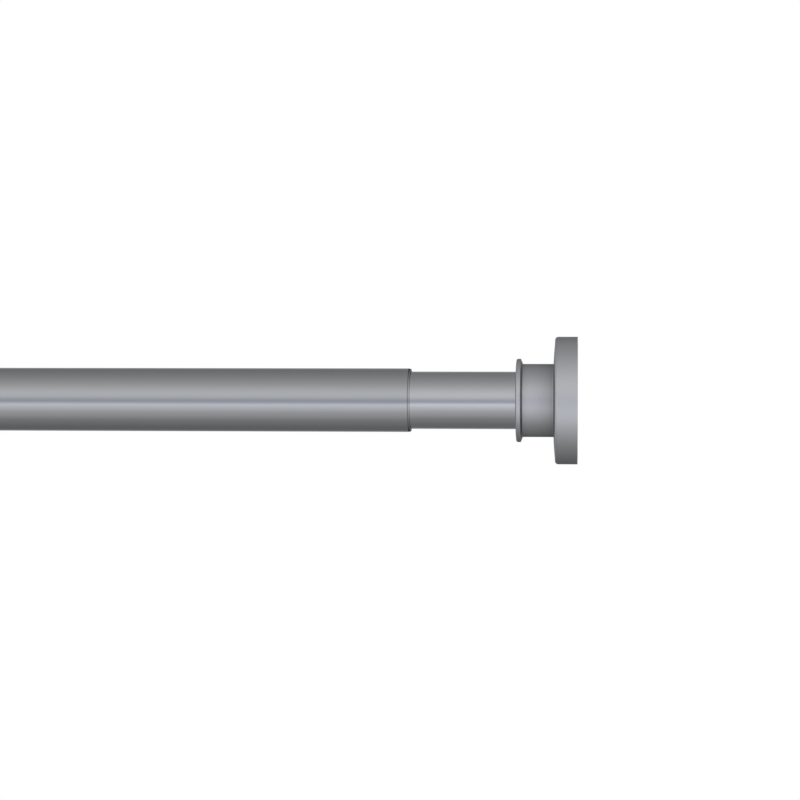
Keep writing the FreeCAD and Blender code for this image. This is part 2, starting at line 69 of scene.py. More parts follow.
# How finely the pieces are drawn.
ROUND_STEPS = 256
FLOOR_STEPS = 96
CORNER_STEPS = 4
DISC_FACE_STEPS = 8
SUPPORT = 0.12 * MM
SUPPORTED_RUN = 5 * SUPPORT
CORNER_SHARE = 0.45
WELD_DISTANCE = 1e-7
SHARP_ANGLE = math.radians(35)

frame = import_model()
nodes = frame["nodes"]
slot_of = {part["node"]: part["material_slot"] for part in frame["record"]["subparts"]}


def spread(node):
    """Where a node starts and ends along the rod, and the radii of its bore and its outside."""
    points = [vertex.co for vertex in nodes[node].data.vertices]
    radii = [math.hypot(point.y, point.z) for point in points]
    return min(p.x for p in points), max(p.x for p in points), min(radii), max(radii)


ROD_START = spread("left_grip_pad")[0]
ROD_END = spread("right_grip_pad")[1]

# Roundings that several pieces share, and the gap of a pressed fit.
EDGE_ROUNDING = 0.15 * MM
PRISM_BEVEL = 0.12 * MM
SOFT_ROUNDING = 0.2 * MM
ROOT_ROUNDING = 0.3 * MM
PRESS_FIT = 0.05 * MM

# The foot's sizes, from the wall outwards. The skirt nearly reaches the wall: it keeps this share
# of the gap that the solid has.
SKIRT_GAP_SHARE = 0.2
SKIRT_LIFT = SKIRT_GAP_SHARE * (spread("left_cover")[0] - ROD_START)
SKIRT_WALL = 1.8 * MM
SKIRT_ROUNDING = 0.15 * MM
DISC_RADIUS = spread("left_cover")[3]
DISC_EDGE = 9.8 * MM
DISC_TOP = 10.5 * MM
DISC_ROUNDING = 1.5 * MM
DISC_DOME = 0.12 * MM
SOCKET_FLOOR = 10.0 * MM
FLOOR_THICKNESS = 2.0 * MM
SLEEVE_RADIUS = 16.0 * MM
SOCKET_RADIUS = 14.9 * MM
COLLAR_RADIUS = 18.25 * MM
COLLAR_BACK = 23.95 * MM
COLLAR_ROOT_ROUNDING = 0.25 * MM
COLLAR_SLOPE = 0.85 * MM
COLLAR_SLOPE_ROUNDING = 0.32 * MM
COLLAR_RIM = 1.9 * MM
COLLAR_ROUNDING = 0.8 * MM
COLLAR_FRONT = spread("left_cover")[1] - ROD_START
SOCKET_BEVEL = 0.4 * MM
HUB_GAP = 0.65 * MM
RIB_RING_RADIUS = 20.0 * MM
RIB_WALL = 1.5 * MM
RIB_HEIGHT = 3.0 * MM
RIB_COUNT = 8
WINDOW_INSIDE = 11.2 * MM
WINDOW_OUTSIDE = 13.9 * MM
WINDOW_WIDTH = 5.4 * MM
WINDOW_FLARE = 0.2 * MM
PAD_THICKNESS = 2.0 * MM
PAD_HOLE = 7.0 * MM
GROOVE_PITCH = 7.6 * MM
GROOVE_WIDTH = 1.6 * MM
GROOVE_DEPTH = 0.7 * MM
GROOVE_COUNT = 2
PLATE_THICKNESS = 2.2 * MM
PLATE_RIB_RADIUS = 18.0 * MM
PLATE_RIB_WALL = 1.4 * MM
PLATE_RIB_HEIGHT = 3.0 * MM
PLATE_RIB_COUNT = 6
PLATE_RIB_START = TURN / 4
BOSS_RADIUS = 5.75 * MM
BOSS_TOP = 13.5 * MM
BOSS_ROUNDING = 0.25 * MM
BOSS_ROOT_ROUNDING = 0.4 * MM
COUNTERBORE_RADIUS = 5.1 * MM
COUNTERBORE_DEPTH = 4.0 * MM
COUNTERBORE_ROUNDING = 0.12 * MM
SCREW_HOLE_RADIUS = 3.7 * MM
HOOK_INSIDE = 11.4 * MM
HOOK_WALL = 1.4 * MM
HOOK_WIDTH = 4.3 * MM
HOOK_NOSE = 0.85 * MM
HOOK_LIP = 0.8 * MM
RUNNING_GAP = 0.1 * MM
ROOT = 0.3 * MM
SEAM = 0.02 * MM

# Sizes of the tubes' ends, and of the bush's lip before the wide tube's mouth.
TUBE_EDGE = 0.03 * MM
BUSH_ROUNDING = 0.08 * MM
LIP_RADIUS = 13.8 * MM
LIP_SEAT = 0.02 * MM
LIP_LAND = 0.24 * MM
LIP_REACH = 0.38 * MM
LIP_ROUNDING = 0.06 * MM
LIP_GROOVE = 0.18 * MM
LIP_GROOVE_DEPTH = 0.5 * MM
LIP_GROOVE_ROUNDING = 0.02 * MM

# Sizes of the plugs, the plunger and the spring.
NOSE_RADIUS = 5.0 * MM
NOSE_BEVEL = 0.6 * MM
FLANGE = 2.0 * MM
PLUG_WALL = 2.2 * MM
HEAD_RADIUS = 11.0 * MM
HEAD_THICKNESS = 3.0 * MM
SPIGOT_RADIUS = 6.0 * MM
SPIGOT_LENGTH = 9.0 * MM
WIRE_RADIUS = 1.0 * MM
OPEN_TURNS = 7
END_TURNS = 1
WIRE_SIDES = 16
STEPS_PER_TURN = 40


def arc_at(before, corner, after, rounding):
    """The points of the arc that takes the place of an outline's corner."""
    back = (before - corner).normalized()
    ahead = (after - corner).normalized()
    half = back.angle(ahead) / 2
    room = CORNER_SHARE * min((before - corner).length, (after - corner).length)
    tangent = min(rounding / math.tan(half), room)
    radius = tangent * math.tan(half)
    centre = corner + (back + ahead).normalized() * radius / math.sin(half)
    first = (corner + back * tangent - centre).normalized()
    last = (corner + ahead * tangent - centre).normalized()
    shares = [step / CORNER_STEPS for step in range(CORNER_STEPS + 1)]
    return [centre + radius * first.slerp(last, share) for share in shares]


def rounded(corners, rounding):
    """An outline with each corner rounded. A corner's third entry is a rounding of its own."""
    spots = [Vector((corner[0], corner[1])) for corner in corners]
    points = []
    for index, spot in enumerate(spots):
        own = corners[index][2] if len(corners[index]) > 2 else rounding
        if own == 0 or spot.y == 0:
            points.append(spot)
        else:
            points += arc_at(spots[index - 1], spot, spots[(index + 1) % len(spots)], own)
    return points


def supported(points, closed):
    """The outline with two more points near the ends of each long run, to keep its shading flat."""
    result = []
    for index, point in enumerate(points):
        result.append(point)
        if index + 1 == len(points) and not closed:
            break
        run = points[(index + 1) % len(points)] - point
        if run.length > SUPPORTED_RUN:
            result.append(point + run.normalized() * SUPPORT)
            result.append(point + run - run.normalized() * SUPPORT)
    return result


def finished(name, shape):
    """A smooth-shaded object from a bmesh."""
    bmesh.ops.recalc_face_normals(shape, faces=shape.faces)
    mesh = bpy.data.meshes.new(name)
    shape.to_mesh(mesh)
    shape.free()
    mesh.shade_smooth()
    piece = bpy.data.objects.new(name, mesh)
    bpy.context.scene.collection.objects.link(piece)
    return piece


def turned(name, corners, place=lambda along: along, rounding=EDGE_ROUNDING, steps=ROUND_STEPS):
    """A piece turned about the rod's axis. An outline that touches the axis makes it solid."""
    points = rounded(corners, rounding)
    hollow = min(point.y for point in points) > 0
    points = supported(points, hollow)
    shape = bmesh.new()
    rings = []
    for step in range(steps):
        angle = TURN * step / steps
        across, up = math.cos(angle), math.sin(angle)
        rings.append([shape.verts.new((place(p.x), p.y * across, p.y * up)) for p in points])
    for number, ring in enumerate(rings):
        following = rings[(number + 1) % steps]
        for index in range(len(points) if hollow else len(points) - 1):
            beside = (index + 1) % len(points)
            shape.faces.new((ring[index], ring[beside], following[beside], following[index]))
    if not hollow:
        bmesh.ops.remove_doubles(shape, verts=shape.verts, dist=WELD_DISTANCE)
    return finished(name, shape)


def prism(name, outline, width, place, angle, bevel=PRISM_BEVEL):
    """A plate cut to an (along, out) outline, with its middle plane through the rod's axis."""
    shape = bmesh.new()
    sides = []
    for offset in (-width / 2, width / 2):
        sides.append([shape.verts.new((place(along), out, offset)) for along, out in outline])
    shape.faces.new(sides[0])
    shape.faces.new(sides[1])
    for index in range(len(outline)):
        beside = (index + 1) % len(outline)
        shape.faces.new((sides[0][index], sides[0][beside], sides[1][beside], sides[1][index]))
    if bevel:
        bmesh.ops.bevel(
            shape, geom=shape.edges, offset=bevel, segments=2, profile=0.5, affect="EDGES")
    bmesh.ops.rotate(
        shape, verts=shape.verts, cent=(0, 0, 0), matrix=Matrix.Rotation(angle, 3, "X"))
    return finished(name, shape)


def prisms(name, outline, width, place, count, first=0.0, bevel=PRISM_BEVEL):
    """Equal plates, evenly spaced about the rod's axis."""
    angles = [first + TURN * number / count for number in range(count)]
    return [prism(name, outline, width, place, angle, bevel) for angle in angles]


def joined(piece, others):
    """One piece from closed shapes that stand in each other, which are used up."""
    shape = bmesh.new()
    for part in (piece, *others):
        shape.from_mesh(part.data)
    for other in others:
        bpy.data.objects.remove(other)
    name = piece.name
    bpy.data.objects.remove(piece)
    return finished(name, shape)


def cut(piece, tools):
    """The piece with other shapes cut from it, which are used up."""
    for tool in tools:
        change = piece.modifiers.new("cut", "BOOLEAN")
        change.operation = "DIFFERENCE"
        change.solver = "EXACT"
        change.object = tool
    evaluated = piece.evaluated_get(bpy.context.evaluated_depsgraph_get())
    result = bpy.data.meshes.new_from_object(evaluated)
    piece.modifiers.clear()
    piece.data = result
    for tool in tools:
        bpy.data.objects.remove(tool)
    return piece


def crisp(piece):
    """Flat faces stay flat and edges stay sharp where the piece has cuts and ribs."""
    piece.data.set_sharp_from_angle(angle=SHARP_ANGLE)
    weights = piece.modifiers.new("weights", "WEIGHTED_NORMAL")
    weights.keep_sharp = True
    return piece


def stand_in(piece, node, finish=None):
    """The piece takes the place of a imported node, with its body and its material."""
    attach(piece, nodes[node]["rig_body"])
    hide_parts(node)
    piece.data.materials.clear()
    piece.data.materials.append(materials[finish or slot_of[node]])
    return piece


# Shader nodes


def feed(tree, socket, value):
    """A socket gets another node's output, or a plain number or colour."""
    if isinstance(value, bpy.types.NodeSocket):
        tree.links.new(value, socket)
    else:
        socket.default_value = value


def math_node(tree, operation, *values):
    """A maths node fed with numbers or other nodes' outputs."""
    node = tree.nodes.new("ShaderNodeMath")
    node.operation = operation
    for index, value in enumerate(values):
        feed(tree, node.inputs[index], value)
    return node.outputs[0]


def mixed(tree, share, first, second, blend="MIX"):
    """Two colours blended. The node's sockets go by number, because its kinds share their names."""
    node = tree.nodes.new("ShaderNodeMix")
    node.data_type = "RGBA"
    node.blend_type = blend
    for index, value in zip((0, 6, 7), (share, first, second)):
        feed(tree, node.inputs[index], value)
    return node.outputs[2]


def ranged(tree, source, low, high):
    """A texture's value spread over a range."""
    node = tree.nodes.new("ShaderNodeMapRange")
    node.inputs["To Min"].default_value = low
    node.inputs["To Max"].default_value = high
    feed(tree, node.inputs["Value"], source)
    return node.outputs["Result"]


def noise(tree, scale, detail):
    """Noise in the rod's own frame, scale in waves a metre."""
    place = tree.nodes.new("ShaderNodeTexCoord")
    texture = tree.nodes.new("ShaderNodeTexNoise")
    texture.inputs["Scale"].default_value = scale
    texture.inputs["Detail"].default_value = detail
    feed(tree, texture.inputs["Vector"], place.outputs["Object"])
    return texture.outputs["Fac"]


# Materials

SILVER = (0.440, 0.445, 0.460)
BRIGHT_SILVER = (0.490, 0.495, 0.515)
SATIN_SILVER = (0.545, 0.550, 0.570)
LIP_SILVER = (0.45, 0.455, 0.47)
PLATE_GREY = (0.24, 0.24, 0.26)
RUBBER_BLACK = (0.045, 0.045, 0.048)
PLUG_BLACK = (0.05, 0.05, 0.055)
LOCK_WHITE = (0.75, 0.75, 0.72)
ZINC_GREY = (0.60, 0.60, 0.60)
SPRING_GREY = (0.40, 0.40, 0.42)
# How far the painted shade in corners reaches.
PAINTED_SHADE_REACH = 12.0 * MM
GRAIN_DETAIL = 3.0
HAZE_SCALE = 90.0
HAZE_DETAIL = 2.0
HAZE = 0.02

# Each slot's finish. Grain is in waves a metre and depth is how deep it is. Edge is how bright the
# metal stays at a grazing angle, and corners how strongly painted shade darkens its corners.
FINISHES = {
    "tube_coat": dict(
        color=SILVER, metallic=1.0, roughness=0.14, grain=2600, depth=0.0006 * MM, edge=0.52),
    "narrow_tube_coat": dict(
        color=BRIGHT_SILVER, metallic=1.0, roughness=0.14, grain=2600, depth=0.0006 * MM, edge=0.52),
    "foot_shell": dict(
        color=SATIN_SILVER, metallic=1.0, roughness=0.42, grain=1800, depth=0.0012 * MM, edge=0.2,
        # The foot shell's colour is darkened in its corners by painted shade.
        corners=0.5),
    "foot_plate": dict(
        color=PLATE_GREY, metallic=0.0, roughness=0.42, grain=2400, depth=0.006 * MM),
    "pad_rubber": dict(
        color=RUBBER_BLACK, metallic=0.0, roughness=0.68, grain=3200, depth=0.014 * MM),
    "bush_black": dict(
        color=LIP_SILVER, metallic=1.0, roughness=0.12, grain=2600, depth=0.0006 * MM, edge=0.0),
    "plug_plastic": dict(
        color=PLUG_BLACK, metallic=0.0, roughness=0.4, grain=2400, depth=0.006 * MM),
    "lock_plastic": dict(
        color=LOCK_WHITE, metallic=0.0, roughness=0.3, grain=2400, depth=0.003 * MM),
    "zinc_steel": dict(
        color=ZINC_GREY, metallic=1.0, roughness=0.3, grain=3000, depth=0.002 * MM, mottle=0.08),
    "spring_steel": dict(
        color=SPRING_GREY, metallic=1.0, roughness=0.28, grain=3000, depth=0.002 * MM, mottle=0.06),
}


def painted_corner_shade(tree, color, strength):
    """A colour darkened with painted shade in its corners, where ambient occlusion finds nearby
    faces.
    """
    corners = tree.nodes.new("ShaderNodeAmbientOcclusion")
    corners.only_local = True
    corners.inputs["Distance"].default_value = PAINTED_SHADE_REACH
    shade = ranged(tree, corners.outputs["AO"], 1 - strength, 1.0)
    return mixed(tree, 1.0, color, shade, blend="MULTIPLY")


def coat(name, color, metallic, roughness, grain, depth, mottle=0.03, edge=1.0, corners=0.0):
    """A finish with a fine grain in its relief, slow changes in its colour and roughness, and
    painted shade in its corners where corners is set.
    """
    material = bpy.data.materials.new(name)
    material.use_nodes = True
    tree = material.node_tree
    shader = tree.nodes["Principled BSDF"]
    shader.inputs["Metallic"].default_value = metallic
    shader.inputs["Specular Tint"].default_value = (edge, edge, edge, 1)
    darker = [channel * (1 - mottle) for channel in color]
    lighter = [min(channel * (1 + mottle), 1) for channel in color]
    tint = mixed(tree, noise(tree, grain / 2, GRAIN_DETAIL), (*darker, 1), (*lighter, 1))
    # Painted shade: ambient occlusion darkens the colour in corners and recesses.
    if corners:
        tint = painted_corner_shade(tree, tint, corners)
    feed(tree, shader.inputs["Base Color"], tint)
    slow = noise(tree, HAZE_SCALE, HAZE_DETAIL)
    feed(tree, shader.inputs["Roughness"], ranged(tree, slow, roughness - HAZE, roughness + HAZE))
    bump = tree.nodes.new("ShaderNodeBump")
    bump.inputs["Strength"].default_value = 1.0
    bump.inputs["Distance"].default_value = depth
    feed(tree, bump.inputs["Height"], noise(tree, grain, GRAIN_DETAIL))
    feed(tree, shader.inputs["Normal"], bump.outputs["Normal"])
    return material


materials = {name: coat(name, **finish) for name, finish in FINISHES.items()}


# The tubes and the bush


def make_tube(name, node, finish=None):
    """A cut steel tube whose edges are broken."""
    start, end, bore, outside = spread(node)
    corners = ((start, bore), (start, outside), (end, outside), (end, bore))
    return stand_in(turned(name, corners, rounding=TUBE_EDGE), node, finish)


def make_mouth_bush():
    """The bush: a sleeve inside the wide tube, and a lip before its mouth with a fine groove."""
    start, end, bore, _ = spread("mouth_bush")
    _, tube_end, tube_bore, tube_outside = spread("outer_tube")
    sleeve = tube_bore - PRESS_FIT
    land = tube_outside - LIP_SEAT
    groove_floor = LIP_RADIUS - LIP_GROOVE_DEPTH
    groove = tube_end + LIP_LAND
    front = end + LIP_REACH
    bush = turned("tube_bush", (
        (start, bore),
        (start, sleeve),
        (tube_end, sleeve, 0),
        (tube_end, land, 0),
        (groove, land, LIP_GROOVE_ROUNDING),
        (groove, groove_floor, 0),
        (groove + LIP_GROOVE, groove_floor, 0),
        (groove + LIP_GROOVE, LIP_RADIUS, LIP_GROOVE_ROUNDING),
        (front, LIP_RADIUS, LIP_ROUNDING),
        (front, bore, LIP_ROUNDING),
    ), rounding=BUSH_ROUNDING)
    return stand_in(bush, "mouth_bush")


# The foot


def disc_face():
    """Corners along the slightly domed face of the disc, from its rim to the sleeve."""
    outer = DISC_RADIUS - DISC_ROUNDING
    corners = []
    for step in range(1, DISC_FACE_STEPS):
        share = step / DISC_FACE_STEPS
        dome = 4 * DISC_DOME * share * (1 - share)
        along = DISC_EDGE + (DISC_TOP - DISC_EDGE) * share + dome
        corners.append((along, outer + (SLEEVE_RADIUS - outer) * share, 0))
    return corners


def make_shell(side, place):
    """The foot's shell: disc, skirt, sleeve and collar in one moulding, ribbed underneath."""
    floor_back = SOCKET_FLOOR - FLOOR_THICKNESS
    skirt_bore = DISC_RADIUS - SKIRT_WALL
    plate_front = PAD_THICKNESS + PLATE_THICKNESS
    rib_start = RIB_RING_RADIUS + RIB_WALL
    rim_back = COLLAR_BACK + COLLAR_SLOPE
    shell = turned(f"{side}_foot_shell", (
        (SKIRT_LIFT, DISC_RADIUS, SKIRT_ROUNDING),
        (DISC_EDGE, DISC_RADIUS, DISC_ROUNDING),
        *disc_face(),
        (DISC_TOP, SLEEVE_RADIUS, ROOT_ROUNDING),
        (COLLAR_BACK, SLEEVE_RADIUS, COLLAR_ROOT_ROUNDING),
        (rim_back, COLLAR_RADIUS, COLLAR_SLOPE_ROUNDING),
        (rim_back + COLLAR_RIM, COLLAR_RADIUS, COLLAR_ROUNDING),
        (COLLAR_FRONT, SOCKET_RADIUS + SOCKET_BEVEL, SOFT_ROUNDING),
        (COLLAR_FRONT - SOCKET_BEVEL, SOCKET_RADIUS, SOFT_ROUNDING),
        (floor_back, SOCKET_RADIUS),
        (floor_back, RIB_RING_RADIUS, ROOT_ROUNDING),
        (plate_front, RIB_RING_RADIUS),
        (plate_front, rib_start),
        (floor_back, rib_start, ROOT_ROUNDING),
        (floor_back, skirt_bore, ROOT_ROUNDING),
        (SKIRT_LIFT, skirt_bore),
    ), place)
    rib = (
        (floor_back - RIB_HEIGHT, rib_start - ROOT),
        (floor_back - RIB_HEIGHT, skirt_bore + ROOT),
        (floor_back + ROOT, skirt_bore + ROOT),
        (floor_back + ROOT, rib_start - ROOT),
    )
    ribs = prisms("rib", rib, RIB_WALL, place, RIB_COUNT)
    window = (
        (floor_back - ROOT, WINDOW_INSIDE),
        (floor_back - ROOT, WINDOW_OUTSIDE),
        (SOCKET_FLOOR - WINDOW_FLARE, WINDOW_OUTSIDE),
        (SOCKET_FLOOR + WINDOW_FLARE, WINDOW_OUTSIDE + 2 * WINDOW_FLARE),
        (SOCKET_FLOOR + WINDOW_FLARE, WINDOW_INSIDE - 2 * WINDOW_FLARE),
        (SOCKET_FLOOR - WINDOW_FLARE, WINDOW_INSIDE),
    )
    floor = turned("floor_ring", (
        (SOCKET_FLOOR, SOCKET_RADIUS + ROOT),
        (SOCKET_FLOOR, BOSS_RADIUS + HUB_GAP),
        (floor_back + SEAM, BOSS_RADIUS + HUB_GAP),
        (floor_back + SEAM, SOCKET_RADIUS + ROOT),
    ), place, steps=FLOOR_STEPS)
    cut(floor, prisms("window", window, WINDOW_WIDTH, place, 2, bevel=0))
    return stand_in(crisp(joined(shell, [floor, *ribs])), f"{side}_cover")


def make_plate(side, place):
    """The wall plate: counterbored boss, stiffening ribs and two snap hooks."""
    plate_front = PAD_THICKNESS + PLATE_THICKNESS
    plate_radius = spread(f"{side}_wall_plate")[3]
    counterbore_floor = BOSS_TOP - COUNTERBORE_DEPTH
    plate = turned(f"{side}_foot_plate", (
        (PAD_THICKNESS, SCREW_HOLE_RADIUS),
        (PAD_THICKNESS, plate_radius),
        (plate_front, plate_radius),
        (plate_front, BOSS_RADIUS, BOSS_ROOT_ROUNDING),
        (BOSS_TOP, BOSS_RADIUS, BOSS_ROUNDING),
        (BOSS_TOP, COUNTERBORE_RADIUS, COUNTERBORE_ROUNDING),
        (counterbore_floor, COUNTERBORE_RADIUS, SOFT_ROUNDING),
        (counterbore_floor, SCREW_HOLE_RADIUS),
    ), place)
    rib = (
        (plate_front - ROOT, BOSS_RADIUS - ROOT),
        (plate_front + PLATE_RIB_HEIGHT, BOSS_RADIUS - ROOT),
        (plate_front + PLATE_RIB_HEIGHT, PLATE_RIB_RADIUS - PLATE_RIB_HEIGHT),
        (plate_front, PLATE_RIB_RADIUS),
        (plate_front - ROOT, PLATE_RIB_RADIUS),
    )
    hook_seat = SOCKET_FLOOR + RUNNING_GAP
    hook = (
        (plate_front - ROOT, HOOK_INSIDE),
        (plate_front - ROOT, HOOK_INSIDE + HOOK_WALL),
        (BOSS_TOP, HOOK_INSIDE + HOOK_WALL),
        (BOSS_TOP, HOOK_INSIDE),
        (hook_seat + HOOK_LIP, HOOK_INSIDE - HOOK_NOSE),
        (hook_seat, HOOK_INSIDE - HOOK_NOSE),
        (hook_seat, HOOK_INSIDE),
    )
    ribs = prisms("rib", rib, PLATE_RIB_WALL, place, PLATE_RIB_COUNT, first=PLATE_RIB_START)
    hooks = prisms("hook", hook, HOOK_WIDTH, place, 2)
    return stand_in(crisp(joined(plate, ribs + hooks)), f"{side}_wall_plate")


def make_pad(side, place):
    """The rubber ring under the foot, with round grooves in its wall face."""
    pad_radius = spread(f"{side}_grip_pad")[3]
    corners = [(PAD_THICKNESS, PAD_HOLE), (0, PAD_HOLE)]
    for number in range(1, GROOVE_COUNT + 1):
        outside = PAD_HOLE + number * GROOVE_PITCH
        inside = outside - GROOVE_WIDTH
        corners += [(0, inside), (GROOVE_DEPTH, inside), (GROOVE_DEPTH, outside), (0, outside)]
    corners += [(0, pad_radius), (PAD_THICKNESS, pad_radius)]
    pad = turned(f"{side}_foot_pad", corners, place, rounding=SOFT_ROUNDING)
    return stand_in(pad, f"{side}_grip_pad")


def make_foot(side, place):
    """One whole foot."""
    make_shell(side, place)
    make_plate(side, place)
    make_pad(side, place)


# The plugs, the plunger and the spring


def make_left_plug():
    """The wide tube's plug: flange, hollow insert, and the nose that turns in the left boss."""
    start, end, _, flange_radius = spread("left_end_plug")
    tube_start, _, tube_bore, _ = spread("outer_tube")
    insert = tube_bore - PRESS_FIT
    plug = turned("left_plug", (
        (start, 0),
        (start, NOSE_RADIUS, NOSE_BEVEL),
        (tube_start - FLANGE, NOSE_RADIUS, SOFT_ROUNDING),
        (tube_start - FLANGE, flange_radius),
        (tube_start, flange_radius),
        (tube_start, insert, 0),
        (end, insert, NOSE_BEVEL),
        (end, insert - PLUG_WALL),
        (tube_start, insert - PLUG_WALL, ROOT_ROUNDING),
        (tube_start, 0),
    ))
    return stand_in(plug, "left_end_plug")


def make_right_plug():
    """The narrow tube's plug: flange, insert, and the long bore that guides the plunger."""
    inner_end, flange_end, guide_bore, flange_radius = spread("right_end_plug")
    tube_end, tube_bore = spread("inner_tube")[1:3]
    insert = tube_bore - PRESS_FIT
    plug = turned("right_plug", (
        (flange_end, guide_bore),
        (flange_end, flange_radius),
        (tube_end, flange_radius),
        (tube_end, insert, 0),
        (inner_end, insert, NOSE_BEVEL),
        (inner_end, insert - PLUG_WALL),
        (tube_end, insert - PLUG_WALL, ROOT_ROUNDING),
        (tube_end, guide_bore + PLUG_WALL, ROOT_ROUNDING),
        (inner_end, guide_bore + PLUG_WALL),
        (inner_end, guide_bore),
    ))
    return stand_in(plug, "right_end_plug")


def make_plunger():
    """The plunger: nose and shaft in one, the head that the spring drives, and a spigot."""
    start, end = spread("plunger")[:2]
    head_start = start + SPIGOT_LENGTH
    plunger = turned("plunger_shaft", (
        (end, 0),
        (end, NOSE_RADIUS, NOSE_BEVEL),
        (head_start + HEAD_THICKNESS, NOSE_RADIUS, ROOT_ROUNDING),
        (head_start + HEAD_THICKNESS, HEAD_RADIUS),
        (head_start, HEAD_RADIUS),
        (head_start, SPIGOT_RADIUS, ROOT_ROUNDING),
        (start, SPIGOT_RADIUS, NOSE_BEVEL),
        (start, 0),
    ))
    return stand_in(plunger, "plunger")


def make_spring():
    """The coil spring: round wire on a helix whose end turns are closed."""
    start, end, _, outside = spread("clamp_spring")
    radius = outside - WIRE_RADIUS
    closed_pitch = 2 * WIRE_RADIUS
    open_length = end - start - 2 * WIRE_RADIUS - 2 * END_TURNS * closed_pitch
    open_pitch = open_length / OPEN_TURNS
    shape = bmesh.new()
    rings = []
    for step in range((OPEN_TURNS + 2 * END_TURNS) * STEPS_PER_TURN + 1):
        turn = step / STEPS_PER_TURN
        opened = min(max(turn - END_TURNS, 0), OPEN_TURNS)
        rise = open_pitch if END_TURNS <= turn <= OPEN_TURNS + END_TURNS else closed_pitch
        along = end - WIRE_RADIUS - opened * open_pitch - (turn - opened) * closed_pitch
        angle = TURN * turn
        outward = Vector((0, math.cos(angle), math.sin(angle)))
        forward = Vector((-rise / (TURN * radius), -math.sin(angle), math.cos(angle))).normalized()
        sideways = forward.cross(outward)
        centre = Vector((along, 0, 0)) + outward * radius
        ring = []
        for side in range(WIRE_SIDES):
            around = TURN * side / WIRE_SIDES
            out = outward * math.cos(around) + sideways * math.sin(around)
            ring.append(shape.verts.new(centre + out * WIRE_RADIUS))
        rings.append(ring)
    for ring, following in zip(rings, rings[1:]):
        for side in range(WIRE_SIDES):
            beside = (side + 1) % WIRE_SIDES
            shape.faces.new((ring[side], ring[beside], following[beside], following[side]))
    shape.faces.new(rings[0])
    shape.faces.new(rings[-1])
    spring = stand_in(finished("coil_spring", shape), "clamp_spring")
    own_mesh(spring)
    return spring


# Studio and camera

# What gloss sees about the rod's axis: degrees above the camera's side, and the light there.
STUDIO_BANDS = (
    (-180, 0.870, 0.880, 0.890),
    (-160, 0.750, 0.760, 0.770),
    (-140, 0.296, 0.300, 0.300),
    (-114, 0.262, 0.266, 0.264),
    (-81, 0.361, 0.366, 0.361),
    (-63, 0.532, 0.540, 0.538),
    (-46, 0.660, 0.670, 0.684),
    (-31, 0.880, 0.900, 0.935),
    (-18, 1.085, 1.120, 1.185),
    (-12, 0.810, 0.840, 0.900),
    (-6, 0.555, 0.580, 0.640),
    (1, 0.640, 0.665, 0.720),
    (10, 0.855, 0.875, 0.915),
    (22, 0.915, 0.930, 0.940),
    (35, 0.836, 0.850, 0.850),
    (51, 0.679, 0.690, 0.690),
    (68, 0.551, 0.560, 0.560),
    (87, 0.443, 0.450, 0.450),
    (109, 0.374, 0.380, 0.380),
    (138, 0.374, 0.380, 0.380),
    (160, 0.750, 0.760, 0.770),
    (180, 0.870, 0.880, 0.890),
)
# What it sees beyond the rod's ends, and between which squared x of the direction that fades in.
END_BOX = (0.79, 0.80, 0.81, 1)
END_BOX_START = 0.50
END_BOX_FULL = 0.95
WHITE = (1, 1, 1, 1)
SOFT_LIGHT = 0.9

FLOOR_DROP = 0.75
FLOOR_SIZE = 4.4
FLOOR_WHITE = (0.93, 0.93, 0.93, 1)
FLOOR_GLOW = 0.16

KEY_LENGTH = 1.6
KEY_WIDTH = 0.8
KEY_POWER = 6.0
KEY_FROM_END = 0.3
KEY_OFFSET = Vector((0, -1.1, 1.2))

CAMERA_DISTANCE = 1.012
CAMERA_AZIMUTH = math.radians(4.4)
CAMERA_ROLL = math.radians(0.14)
FRAME_PIXELS = 800
FOCAL_PIXELS = 2300
SENSOR = 36.0
NEAR_CLIP = 0.05
AIM_FROM_END = 77.97 * MM
AIM_HEIGHT = 0.07 * MM


def background(tree, color, strength=1.0):
    """Light of one colour, or of a colour that changes with the direction."""
    node = tree.nodes.new("ShaderNodeBackground")
    feed(tree, node.inputs["Color"], color)
    node.inputs["Strength"].default_value = strength
    return node.outputs[0]


def chosen(tree, share, first, second):
    """The first light where the share is nought, and the second where it is one."""
    node = tree.nodes.new("ShaderNodeMixShader")
    for socket, source in zip(node.inputs, (share, first, second)):
        feed(tree, socket, source)
    return node.outputs[0]


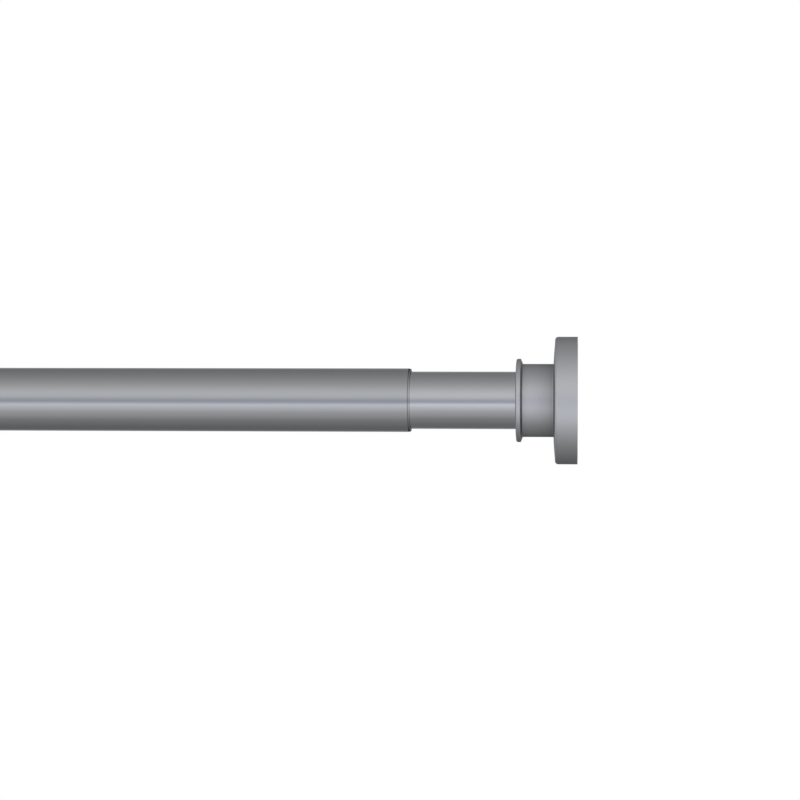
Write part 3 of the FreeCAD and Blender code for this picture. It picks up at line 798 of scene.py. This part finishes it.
def make_world():
    """Soft white light all round. Gloss sees long soft boxes instead, and the camera plain white."""
    world = bpy.data.worlds.new("studio")
    bpy.context.scene.world = world
    world.use_nodes = True
    tree = world.node_tree
    tree.nodes.clear()
    axes = tree.nodes.new("ShaderNodeSeparateXYZ")
    feed(tree, axes.inputs[0], tree.nodes.new("ShaderNodeTexCoord").outputs["Generated"])
    x, y, z = axes.outputs
    around = math_node(tree, "ARCTAN2", z, math_node(tree, "MULTIPLY", y, -1))
    ramp = tree.nodes.new("ShaderNodeValToRGB")
    feed(tree, ramp.inputs[0], math_node(tree, "MULTIPLY_ADD", around, 1 / TURN, 0.5))
    stops = ramp.color_ramp.elements
    while len(stops) > 1:
        stops.remove(stops[-1])
    for index, (degrees, *color) in enumerate(STUDIO_BANDS):
        position = degrees / 360 + 0.5
        stop = stops[0] if index == 0 else stops.new(position)
        stop.position = position
        stop.color = (*color, 1)
    ends = tree.nodes.new("ShaderNodeMapRange")
    ends.interpolation_type = "SMOOTHSTEP"
    ends.inputs["From Min"].default_value = END_BOX_START
    ends.inputs["From Max"].default_value = END_BOX_FULL
    feed(tree, ends.inputs["Value"], math_node(tree, "MULTIPLY", x, x))
    boxes = mixed(tree, ends.outputs["Result"], ramp.outputs["Color"], END_BOX)
    ray = tree.nodes.new("ShaderNodeLightPath")
    soft = background(tree, WHITE, SOFT_LIGHT)
    light = chosen(tree, ray.outputs["Is Glossy Ray"], soft, background(tree, boxes))
    seen = chosen(tree, ray.outputs["Is Camera Ray"], light, background(tree, WHITE))
    feed(tree, tree.nodes.new("ShaderNodeOutputWorld").inputs[0], seen)


def make_floor():
    """A plain white floor well below the rod, which only takes its soft shadow."""
    shape = bmesh.new()
    bmesh.ops.create_grid(shape, x_segments=1, y_segments=1, size=FLOOR_SIZE / 2)
    floor = finished("floor", shape)
    floor.location = ((ROD_START + ROD_END) / 2, 0, -FLOOR_DROP)
    floor.visible_glossy = False
    material = bpy.data.materials.new("floor_white")
    material.use_nodes = True
    shader = material.node_tree.nodes["Principled BSDF"]
    shader.inputs["Base Color"].default_value = FLOOR_WHITE
    shader.inputs["Roughness"].default_value = 1.0
    shader.inputs["Specular IOR Level"].default_value = 0.0
    shader.inputs["Emission Color"].default_value = WHITE
    shader.inputs["Emission Strength"].default_value = FLOOR_GLOW
    floor.data.materials.append(material)


def make_key_light():
    """One big soft lamp above and before the rod, which gives plastic and rubber their shape."""
    lamp = bpy.data.lights.new("key", "AREA")
    lamp.shape = "RECTANGLE"
    lamp.size = KEY_LENGTH
    lamp.size_y = KEY_WIDTH
    lamp.energy = KEY_POWER
    key = bpy.data.objects.new("key", lamp)
    key.location = Vector((ROD_END - KEY_FROM_END, 0, 0)) + KEY_OFFSET
    key.rotation_euler = (-KEY_OFFSET).to_track_quat("-Z", "Y").to_euler()
    key.visible_glossy = False
    bpy.context.scene.collection.objects.link(key)


def make_camera():
    """The photograph's camera: level, a little beyond the foot, looking at the tubes' mouth."""
    data = bpy.data.cameras.new("camera")
    data.sensor_width = SENSOR
    data.lens = SENSOR * FOCAL_PIXELS / FRAME_PIXELS
    data.clip_start = NEAR_CLIP
    camera = bpy.data.objects.new("camera", data)
    aim = Vector((ROD_END - AIM_FROM_END, 0, AIM_HEIGHT))
    back = Vector((math.sin(CAMERA_AZIMUTH), -math.cos(CAMERA_AZIMUTH), 0))
    level = (-back).to_track_quat("-Z", "Y").to_matrix().to_4x4()
    stand = Matrix.Translation(aim + back * CAMERA_DISTANCE)
    camera.matrix_world = stand @ level @ Matrix.Rotation(CAMERA_ROLL, 4, "Z")
    bpy.context.scene.collection.objects.link(camera)
    bpy.context.scene.camera = camera


make_tube("wide_tube", "outer_tube")
make_tube("narrow_tube", "inner_tube", "narrow_tube_coat")
make_mouth_bush()
make_foot("left", lambda along: ROD_START + along)
make_foot("right", lambda along: ROD_END - along)
make_left_plug()
make_right_plug()
make_plunger()
make_spring()

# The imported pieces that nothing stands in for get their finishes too.
for node, piece in nodes.items():
    piece.data.materials.clear()
    piece.data.materials.append(materials[slot_of[node]])

make_world()
make_floor()
make_key_light()
make_camera()
bpy.context.scene.view_settings.view_transform = "Standard"
